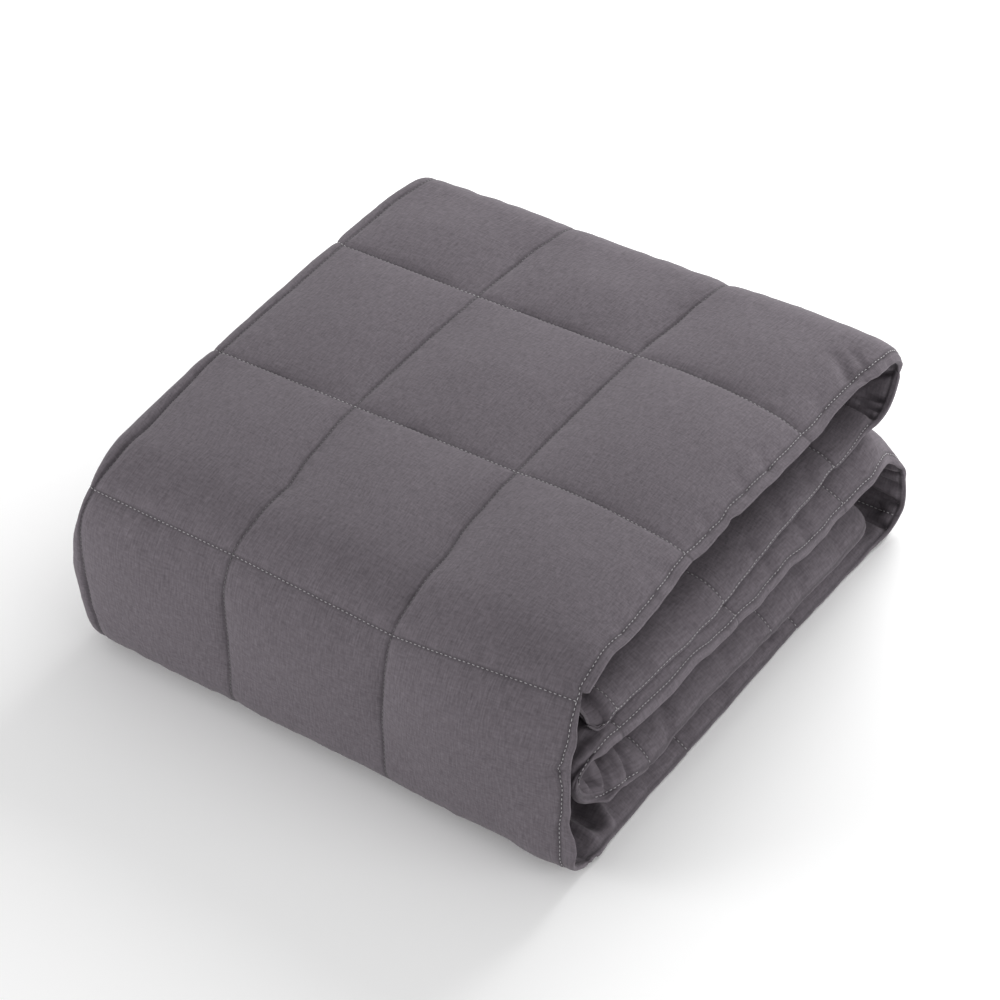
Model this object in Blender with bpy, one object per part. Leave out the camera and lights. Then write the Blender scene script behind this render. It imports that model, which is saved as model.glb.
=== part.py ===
"""A quilted weighted blanket, folded in thirds across its width and then rolled flat
along its length into a square bundle.

The blanket is one sewn piece: two covers quilted together in a grid of squares, with a
hem all round. It is modelled as one closed solid, the real sheet on its real folds:

* across its width it is folded in thirds. The outer third ends in the hem that shows
  on the right of the bundle, the left fold shows on the left, and the other two
  thirds lie inside, set back from the hem;
* the folded strip then runs through five levels of the bundle, D, C, E, A and B, and
  turns the same way at each end, so its outer face stays outside.

Units are metres, +Z is up, the bundle's front fold faces -Y, its hems face +X, and the
origin is under the middle of the bundle, on the surface that it rests on.
"""

import bpy
import numpy as np

OBJECT_NAME = "weighted_blanket"
NODE_NAME = "blanket"
FABRIC_COLOUR = (0.125, 0.115, 0.122, 1.0)
FABRIC_ROUGHNESS = 0.9

# ---------------------------------------------------------------- driving dimensions
MM = 0.001
SQUARE = 0.120                      # one quilted square, seam to seam
LAYER_PITCH = 8.2 * MM              # from one third of the strip to the next
SEAM_HALF = 1.5 * MM                # half the sheet's thickness on a seam
PLAIN_HALF = 3.0 * MM               # half its thickness in the hidden thirds
INNER_PUFF = 1.9 * MM               # fill that shows above a seam, on a covered face
OUTER_PUFF = 5.0 * MM               # the same on an open face
HEM_WIDTH = 7.0 * MM                # from the hem's stitching to the rim
TIP_LENGTH = 22.0 * MM              # over which the strip thins towards a free end
TIP_SCALE = 0.62

# Heights of the strip's middle on the five levels of the bundle.
LEVEL_E = 11.7 * MM
LEVEL_D = 39.7 * MM
LEVEL_C = 67.7 * MM
LEVEL_B = 95.8 * MM
LEVEL_A = 123.8 * MM

# The strip's middle line: a polyline from the hidden end to the upper end, with each
# corner rounded. Y is measured from a line just in front of the bundle.
CORNERS = (
    # name,               y,     z,        radius
    ("hidden end",        0.425, LEVEL_D,  0.0),
    ("inner fold low",    0.136, LEVEL_D,  0.0139),
    ("inner fold high",   0.136, LEVEL_C,  0.0139),
    ("lower curl high",   0.447, LEVEL_C,  0.026),
    ("lower curl low",    0.461, LEVEL_E,  0.015),
    ("front low",         0.101, LEVEL_E,  0.014),
    ("front high",        0.108, LEVEL_A,  0.039),
    ("upper curl high",   0.457, 0.1275,   0.0145),
    ("upper curl low",    0.448, LEVEL_B,  0.0135),
    ("upper end",         0.140, LEVEL_B,  0.0),
)

# Seams across the strip, in the order of the middle line. A seam lies on the run that
# follows a corner, at the given y, or in the turn of a corner, at a share of the turn.
ROW_SEAMS = (
    # corner,            place,          steps from the seam before
    ("hidden end",       ("y", 0.308),    4),
    ("hidden end",       ("y", 0.176),    4),
    ("inner fold high",  ("y", 0.1515),   8),
    ("inner fold high",  ("y", 0.264),    4),
    ("inner fold high",  ("y", 0.389),    4),
    ("lower curl low",   ("turn", 0.60),  9),
    ("lower curl low",   ("y", 0.342),    5),
    ("lower curl low",   ("y", 0.214),    4),
    ("front low",        ("turn", 0.10),  4),
    ("front high",       ("turn", 0.46),  8),
    ("front high",       ("y", 0.237),    5),
    ("front high",       ("y", 0.369),    4),
    ("upper curl high",  ("turn", 0.85),  6),
    ("upper curl low",   ("y", 0.396),    5),
    ("upper curl low",   ("y", 0.259),    4),
    ("upper curl low",   ("y", 0.1545),   4),
)
LAST_STEPS = 2                      # steps from the last seam to the upper end
TURN_WEIGHT = 0.055                 # length that one radian of turn counts as

# Seams along the strip, on the outer third, from the left fold to the hem.
LEFT_SEAM = 0.174 * SQUARE
COLUMN_SEAMS = (LEFT_SEAM, 1.009 * SQUARE, 1.951 * SQUARE)
LEFT_FOLD_X = 20.0 * MM             # centre of the left fold's turn
HEM_X = 2.995 * SQUARE              # the rim, before each level's own reach
INNER_FOLD_X = 2.62 * SQUARE        # the hidden fold of the inner thirds
INNER_HEM_X = 30.0 * MM             # the hidden hem inside the left fold
LEFT_PINCH = 2.0 * MM               # a seam draws the left fold in by this

# How the open face and the hem differ along the line: how far the fill stands out, how
# far the hem reaches past HEM_X, how the cloth near it lifts and its rim drops, and how
# far it is drawn forward there.
LINE_SHAPES = (
    # corner,            place,         puff, reach,  lift,  drop,  forward
    ("hidden end",       ("y", 0.420),  0.50, 0.009, 0.011, 0.002, 0.000),
    ("hidden end",       ("y", 0.200),  0.50, 0.009, 0.011, 0.002, 0.004),
    ("inner fold low",   ("turn", 0.5), 0.60, 0.007, 0.006, 0.000, 0.013),
    ("inner fold high",  ("turn", 0.5), 0.60, 0.008, 0.003, 0.000, 0.013),
    ("inner fold high",  ("y", 0.200),  0.50, 0.014, 0.006, 0.003, 0.004),
    ("inner fold high",  ("y", 0.390),  0.50, 0.015, 0.004, 0.003, 0.000),
    ("lower curl high",  ("turn", 0.5), 1.00, 0.016, 0.000, 0.000, 0.000),
    ("lower curl low",   ("turn", 0.5), 0.90, 0.015, 0.000, 0.000, 0.000),
    ("lower curl low",   ("y", 0.400),  0.60, 0.012, 0.002, 0.001, 0.000),
    ("lower curl low",   ("y", 0.160),  0.60, 0.010, 0.002, 0.001, 0.000),
    ("front low",        ("turn", 0.5), 1.20, 0.007, 0.000, 0.000, 0.000),
    ("front high",       ("turn", 0.0), 1.00, 0.005, 0.000, 0.000, 0.000),
    ("front high",       ("turn", 1.0), 1.00, 0.002, 0.000, 0.001, 0.000),
    ("front high",       ("y", 0.300),  1.00, 0.000, 0.000, 0.002, 0.000),
    ("upper curl high",  ("turn", 0.3), 1.20, 0.007, 0.000, 0.000, 0.000),
    ("upper curl low",   ("turn", 0.5), 0.60, 0.006, 0.002, 0.000, 0.000),
    ("upper curl low",   ("y", 0.400),  0.50, 0.006, 0.010, 0.001, 0.000),
    ("upper curl low",   ("y", 0.200),  0.50, 0.007, 0.010, 0.001, 0.004),
    ("upper curl low",   ("y", 0.140),  0.50, 0.004, 0.000, 0.006, 0.020),
)
LIFT_START_X = 2.66 * SQUARE        # where a hem's lift begins, and where it peaks
LIFT_PEAK_X = 2.84 * SQUARE
COLUMN_STEPS = 4                    # steps across a quilted square
HEM_COLUMN_SHARES = (0.12, 0.30, 0.55, 0.78, 1.0)
FOLD_STEPS = 4                      # steps around the left fold
INNER_FOLD_STEPS = 3
HIDDEN_STEPS = 4                    # steps across each hidden third


# ---------------------------------------------------------------------- the long line
def unit(vector):
    return vector / np.linalg.norm(vector)


def line_pieces():
    """The middle line as straight runs and round turns.

    Each piece is (corner name, kind, length, start, start direction, turn angle). All
    turns go clockwise, seen with +Y to the right.
    """
    points = [np.array([y, z]) for _, y, z, _ in CORNERS]
    radii = [radius for _, _, _, radius in CORNERS]
    pieces = []
    cursor = points[0]
    for index in range(1, len(points)):
        direction = unit(points[index] - points[index - 1])
        if index + 1 < len(points):
            after = unit(points[index + 1] - points[index])
            angle = np.arccos(np.clip(direction @ after, -1.0, 1.0))
            setback = radii[index] * np.tan(angle / 2.0)
        else:
            angle = 0.0
            setback = 0.0
        run_end = points[index] - direction * setback
        run = max((run_end - cursor) @ direction, 0.0)
        pieces.append((CORNERS[index - 1][0], "run", run, cursor, direction, 0.0))
        if angle > 0.0:
            pieces.append((CORNERS[index][0], "turn", radii[index] * angle, run_end,
                           direction, angle))
            cursor = points[index] + after * setback
    return pieces


def line_frame(pieces, distances):
    """Positions and outward normals of the middle line at some distances along it."""
    places = np.zeros((len(distances), 2))
    normals = np.zeros((len(distances), 2))
    for row, distance in enumerate(distances):
        rest = distance
        for piece in pieces:
            if rest <= piece[2] or piece is pieces[-1]:
                break
            rest -= piece[2]
        _, _, length, start, direction, angle = piece
        outward = np.array([-direction[1], direction[0]])
        if angle > 0.0:
            swept = angle * rest / length
            radius = length / angle
            places[row] = start + radius * (np.sin(swept) * direction
                                            - (1.0 - np.cos(swept)) * outward)
            normals[row] = np.cos(swept) * outward + np.sin(swept) * direction
        else:
            places[row] = start + direction * rest
            normals[row] = outward
    return places, normals


def piece_start(pieces, name, kind):
    """Distance along the line at which a named run or turn starts."""
    total = 0.0
    for piece in pieces:
        if piece[0] == name and piece[1] == kind:
            return total
        total += piece[2]
    raise ValueError(name)


def place_on_line(pieces, corner, place):
    """Distance along the line of a seam's place."""
    kind, value = place
    wanted = "turn" if kind == "turn" else "run"
    piece = next(p for p in pieces if p[0] == corner and p[1] == wanted)
    begin = piece_start(pieces, corner, wanted)
    if kind == "turn":
        return begin + value * piece[2]
    return begin + (value - piece[3][0]) / piece[4][0]


def turned_by(pieces, distance):
    """Angle that the line has turned through before a distance."""
    total = 0.0
    for piece in pieces:
        share = np.clip(distance / piece[2], 0.0, 1.0) if piece[2] > 0.0 else 1.0
        total += piece[5] * share
        distance -= piece[2]
    return total


def row_stations(pieces):
    """Distances of the mesh's rows, and each row's seam coordinate: 0, 1, 2 ... on the
    ends and seams, with the rows between closer together where the line turns."""
    length = sum(piece[2] for piece in pieces)
    marks = [0.0] + [place_on_line(pieces, corner, place) for corner, place, _ in ROW_SEAMS]
    marks.append(length)
    counts = [steps for _, _, steps in ROW_SEAMS] + [LAST_STEPS]
    fine = np.linspace(0.0, length, 4001)
    effort = fine + TURN_WEIGHT * np.array([turned_by(pieces, d) for d in fine])
    stations = [0.0]
    seam_coordinates = [0.0]
    for index, steps in enumerate(counts):
        low, high = np.interp(marks[index:index + 2], fine, effort)
        inside = np.interp(np.linspace(low, high, steps + 1)[1:], effort, fine)
        begin, end = marks[index], marks[index + 1]
        inside[-1] = end
        stations.extend(inside)
        seam_coordinates.extend(index + (inside - begin) / (end - begin))
    return np.array(stations), np.array(seam_coordinates)


def line_shapes(pieces, stations):
    """The columns of LINE_SHAPES at each station: puff, reach, lift, drop, forward."""
    distances = [place_on_line(pieces, corner, place) for corner, place, *_ in LINE_SHAPES]
    columns = zip(*(values for _, _, *values in LINE_SHAPES))
    return [np.interp(stations, distances, column) for column in columns]


# --------------------------------------------------------------- the folded cross-way
def strip_section():
    """The sheet's middle across the strip, from the hem round both folds.

    Each point has x, the offset from the strip's middle line, the normal of its outer
    face, its quilting coordinate (0, 1, 2 ... on the seams, or none on plain cloth)
    and the name of the part of the section that it lies on.
    """
    points = []

    def add(x, offset, normal, quilt, part):
        points.append((x, offset, normal[0], normal[1], quilt, part))

    stitch_x = HEM_X - HEM_WIDTH
    up = (0.0, 1.0)
    add(HEM_X, LAYER_PITCH, up, 0.0, "outer")
    add(stitch_x, LAYER_PITCH, up, 0.0, "outer")
    seams = list(COLUMN_SEAMS[::-1])
    for share in HEM_COLUMN_SHARES:
        add(stitch_x + (seams[0] - stitch_x) * share, LAYER_PITCH, up, share, "outer")
    for index in range(1, len(seams)):
        for step in range(1, COLUMN_STEPS + 1):
            share = step / COLUMN_STEPS
            x = seams[index - 1] + (seams[index] - seams[index - 1]) * share
            add(x, LAYER_PITCH, up, index + share, "outer")

    last = float(len(seams))
    for step in range(FOLD_STEPS + 1):
        angle = np.pi * step / FOLD_STEPS
        add(LEFT_FOLD_X - LAYER_PITCH * np.sin(angle), LAYER_PITCH * np.cos(angle),
            (-np.sin(angle), np.cos(angle)), last + 0.12 + 0.4 * step / FOLD_STEPS, "left")

    down = (0.0, -1.0)
    turn_x = INNER_FOLD_X - LAYER_PITCH / 2.0
    for step in range(1, HIDDEN_STEPS):
        x = LEFT_FOLD_X + (turn_x - LEFT_FOLD_X) * step / HIDDEN_STEPS
        add(x, -LAYER_PITCH, down, -1.0, "hidden")
    for step in range(INNER_FOLD_STEPS + 1):
        angle = np.pi * step / INNER_FOLD_STEPS
        add(turn_x + LAYER_PITCH / 2.0 * np.sin(angle),
            -LAYER_PITCH / 2.0 - LAYER_PITCH / 2.0 * np.cos(angle),
            (np.sin(angle), -np.cos(angle)), -1.0, "hidden")
    for step in range(1, HIDDEN_STEPS + 1):
        x = turn_x + (INNER_HEM_X - turn_x) * step / HIDDEN_STEPS
        add(x, 0.0, up, -1.0, "hidden")
    return points


def ease(value, low, high):
    """0 below low, 1 above high, smooth between."""
    share = np.clip((value - low) / (high - low), 0.0, 1.0)
    return share * share * (3.0 - 2.0 * share)


def puff(coordinate):
    """Height of the fill between two seams: 0 on them, 1 half way, steep beside them."""
    share = coordinate - np.floor(coordinate)
    return np.sqrt(np.clip(4.0 * share * (1.0 - share), 0.0, 1.0))


# ------------------------------------------------------------------------ the surface
def sheet_faces():
    """Both faces of the folded sheet, as two grids of points (row, column, xyz)."""
    pieces = line_pieces()
    stations, seam_coordinates = row_stations(pieces)
    places, normals = line_frame(pieces, stations)
    length = stations[-1]
    section = strip_section()

    open_puff, reach, lift, drop, forward = line_shapes(pieces, stations)

    row_puff = puff(seam_coordinates)
    end_distance = np.minimum(stations, length - stations)
    tip = TIP_SCALE + (1.0 - TIP_SCALE) * ease(end_distance, 0.0, TIP_LENGTH)

    outer = np.zeros((len(stations), len(section), 3))
    inner = np.zeros_like(outer)
    for column, (x, offset, normal_x, normal_o, quilt, part) in enumerate(section):
        if part == "hidden":
            fill = np.minimum(1.0, end_distance / TIP_LENGTH)
            outside = SEAM_HALF + (PLAIN_HALF - SEAM_HALF) * fill
            inside = outside
        else:
            fill = row_puff * puff(quilt)
            outside = SEAM_HALF + OUTER_PUFF * open_puff * fill
            inside = SEAM_HALF + INNER_PUFF * fill
        shift = np.zeros(len(stations))
        lifted = np.zeros(len(stations))
        drawn = np.zeros(len(stations))
        if part == "outer":
            beyond = ease(x, COLUMN_SEAMS[-1], HEM_X)
            shift = reach * beyond
            rise = ease(x, LIFT_START_X, LIFT_PEAK_X)
            fall = ease(x, LIFT_PEAK_X, HEM_X)
            lifted = lift * rise * (1.0 - fall) - drop * fall
            drawn = forward * rise
        if x < LEFT_FOLD_X:
            depth = (LEFT_FOLD_X - x) / LAYER_PITCH
            shift = LEFT_PINCH * (1.0 - row_puff) * depth
        for grid, thickness in ((outer, outside), (inner, -inside)):
            out = offset * tip + thickness * normal_o
            grid[:, column, 0] = x + shift + thickness * normal_x
            grid[:, column, 1] = places[:, 0] + out * normals[:, 0] - drawn
            grid[:, column, 2] = places[:, 1] + out * normals[:, 1] + lifted
    for grid in (outer, inner):
        grid[:, :, 2] = np.maximum(grid[:, :, 2], 0.0)
    return outer, inner


def centred(outer, inner):
    """Move both grids so that the bundle's middle is over the origin."""
    both = np.concatenate([outer.reshape(-1, 3), inner.reshape(-1, 3)])
    middle = (both.min(axis=0) + both.max(axis=0)) / 2.0
    middle[2] = both[:, 2].min()
    return outer - middle, inner - middle


def sheet_mesh(name, outer, inner):
    """One closed body: the two faces, joined all round by the hem's narrow edge."""
    rows, columns = outer.shape[:2]
    points = np.concatenate([outer.reshape(-1, 3), inner.reshape(-1, 3)])
    below = rows * columns
    faces = []
    for row in range(rows - 1):
        for column in range(columns - 1):
            a = row * columns + column
            b = a + 1
            c = a + columns + 1
            d = a + columns
            faces.append((d, c, b, a))
            faces.append((below + a, below + b, below + c, below + d))
    rim = [column for column in range(columns)]
    rim += [row * columns + columns - 1 for row in range(1, rows)]
    rim += [(rows - 1) * columns + column for column in range(columns - 2, -1, -1)]
    rim += [row * columns for row in range(rows - 2, 0, -1)]
    for index, start in enumerate(rim):
        end = rim[(index + 1) % len(rim)]
        faces.append((start, end, below + end, below + start))
    mesh = bpy.data.meshes.new(name)
    mesh.from_pydata([tuple(point) for point in points], [], faces)
    mesh.validate()
    mesh.update()
    return mesh


# -------------------------------------------------------------------------- the scene
def clear_scene():
    for existing in list(bpy.data.objects):
        bpy.data.objects.remove(existing, do_unlink=True)


def fabric_material():
    material = bpy.data.materials.new("grey cotton")
    material.use_nodes = True
    shader = material.node_tree.nodes["Principled BSDF"]
    shader.inputs["Base Color"].default_value = FABRIC_COLOUR
    shader.inputs["Roughness"].default_value = FABRIC_ROUGHNESS
    shader.inputs["Metallic"].default_value = 0.0
    return material


def build():
    clear_scene()
    collection = bpy.data.collections.new(OBJECT_NAME)
    bpy.context.scene.collection.children.link(collection)
    outer, inner = centred(*sheet_faces())
    mesh = sheet_mesh(NODE_NAME, outer, inner)
    mesh.shade_smooth()
    blanket = bpy.data.objects.new(NODE_NAME, mesh)
    blanket.data.materials.append(fabric_material())
    collection.objects.link(blanket)
    return blanket


build()
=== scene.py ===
"""The looks of the folded weighted blanket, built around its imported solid.

The cloth is the same sheet on the same folds as the solid: folded in thirds across its
width, then rolled flat along its length. Here it gets its fine shape: soft squares drawn
in by stitched seams, puckers, creases and an uneven hem, then stitches of thread and a
woven cotton finish.

Two coordinates run over the sheet, both in metres: "along" follows the strip's middle
line from its hidden end to its upper end, and "across" runs from the hem that shows,
round the left fold and the inner fold, to the hidden hem. Side 1 is the outer face of
the cloth and side -1 the inner one.
"""

import bpy
import numpy as np
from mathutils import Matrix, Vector

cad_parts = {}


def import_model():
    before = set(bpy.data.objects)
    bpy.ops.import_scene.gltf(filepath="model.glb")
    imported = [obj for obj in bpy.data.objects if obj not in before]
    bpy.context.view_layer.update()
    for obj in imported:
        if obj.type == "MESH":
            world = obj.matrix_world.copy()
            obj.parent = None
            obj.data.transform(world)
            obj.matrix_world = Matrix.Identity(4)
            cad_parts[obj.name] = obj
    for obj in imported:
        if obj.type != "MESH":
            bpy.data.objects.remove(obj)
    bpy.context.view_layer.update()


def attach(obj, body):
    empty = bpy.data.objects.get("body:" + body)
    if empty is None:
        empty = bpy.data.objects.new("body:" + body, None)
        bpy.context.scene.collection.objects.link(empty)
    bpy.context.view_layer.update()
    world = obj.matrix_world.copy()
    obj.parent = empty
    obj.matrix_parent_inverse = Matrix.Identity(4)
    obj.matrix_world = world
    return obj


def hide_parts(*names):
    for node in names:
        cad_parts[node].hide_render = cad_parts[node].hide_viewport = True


MM = 0.001
OUTER = 1.0
INNER = -1.0

# ---------- sizes shared with the solid
SQUARE = 0.120
LAYER_PITCH = 8.2 * MM
SEAM_HALF = 1.5 * MM
INNER_PUFF = 1.9 * MM
HEM_WIDTH = 7.0 * MM
TIP_LENGTH = 22.0 * MM
TIP_SCALE = 0.62
MIDDLE = (0.1902, 0.2785)  # the bundle's middle, in the section's own x and y

LEVEL_E = 11.7 * MM
LEVEL_D = 39.7 * MM
LEVEL_C = 67.7 * MM
LEVEL_B = 95.8 * MM
LEVEL_A = 123.8 * MM

CORNERS = (
    # name,               y,     z,        radius
    ("hidden end",        0.425, LEVEL_D,  0.0),
    ("inner fold low",    0.136, LEVEL_D,  0.0139),
    ("inner fold high",   0.136, LEVEL_C,  0.0139),
    ("lower curl high",   0.447, LEVEL_C,  0.026),
    ("lower curl low",    0.461, LEVEL_E,  0.015),
    ("front low",         0.101, LEVEL_E,  0.014),
    ("front high",        0.108, LEVEL_A,  0.039),
    ("upper curl high",   0.457, 0.1275,   0.0145),
    ("upper curl low",    0.448, LEVEL_B,  0.0135),
    ("upper end",         0.140, LEVEL_B,  0.0),
)

# Seams across the strip: a seam lies on the run that follows a corner, at the given y,
# or in the turn of a corner, at a share of the turn.
ROW_SEAMS = (
    ("hidden end",       ("y", 0.308)),
    ("hidden end",       ("y", 0.176)),
    ("inner fold high",  ("y", 0.1515)),
    ("inner fold high",  ("y", 0.264)),
    ("inner fold high",  ("y", 0.389)),
    ("lower curl low",   ("turn", 0.60)),
    ("lower curl low",   ("y", 0.342)),
    ("lower curl low",   ("y", 0.214)),
    ("front low",        ("turn", 0.10)),
    ("front high",       ("turn", 0.46)),
    ("front high",       ("y", 0.237)),
    ("front high",       ("y", 0.369)),
    ("upper curl high",  ("turn", 0.85)),
    ("upper curl low",   ("y", 0.396)),
    ("upper curl low",   ("y", 0.259)),
    ("upper curl low",   ("y", 0.1545)),
)

# Seams along the strip, on the outer third.
LEFT_SEAM = 0.174 * SQUARE
COLUMN_SEAMS = (LEFT_SEAM, 1.009 * SQUARE, 1.951 * SQUARE)
LEFT_FOLD_X = 20.0 * MM
HEM_X = 2.995 * SQUARE
INNER_FOLD_X = 2.62 * SQUARE
INNER_HEM_X = 30.0 * MM
LEFT_PINCH = 0.4 * MM
HIDDEN_COLUMNS = 5  # quilted squares on the hidden thirds

LIFT_START_X = 2.66 * SQUARE
LIFT_PEAK_X = 2.84 * SQUARE

# ---------- how the cloth lies
# Rows count the seams across the strip: 0 is the hidden end, 1 to 16 the seams and 17 the
# upper end. Row 3 lies in the inner fold, 6 in the lower curl, 9 and 10 at the foot and
# the top of the front, 13 in the upper curl. All other sizes here are in millimetres.

FILL_SHAPES = (
    # row, ride of the whole face, puff beside the seams, dome in a square's middle
    (    0,   0, 1.6,   1),
    (  2.4,   0, 1.6,   1),
    (  2.8,   0,   2, 1.5),
    (  3.4,   0,   2,   2),
    (    5,   0,   2,   2),
    (  5.5,   1, 1.6,   2),
    (    6,   1, 1.6,   2),
    (  6.4,   0, 1.6, 1.2),
    (  8.8,   0, 1.6, 1.2),
    ( 9.05, 0.8, 0.6, 0.4),
    (  9.3, 0.4, 1.6, 2.6),
    (  9.7,   0, 2.8,   4),
    ( 10.2,   0, 3.2, 4.2),
    (   11,   0, 3.4, 4.6),
    ( 12.4,   0, 3.4, 4.6),
    ( 12.8, 3.1, 0.6,   1),
    (13.05, 3.1, 0.6,   1),
    ( 13.4,   0, 1.8, 1.5),
    (   14,   0,   2,   2),
    (   17,   0, 1.6,   1),
)
CREASED_SEAMS = (9, 13)  # seams whose inner stitches are drawn into a crease
LEFT_FOLD_FILL = 0.15  # share of the puff that is left on the left fold

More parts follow.
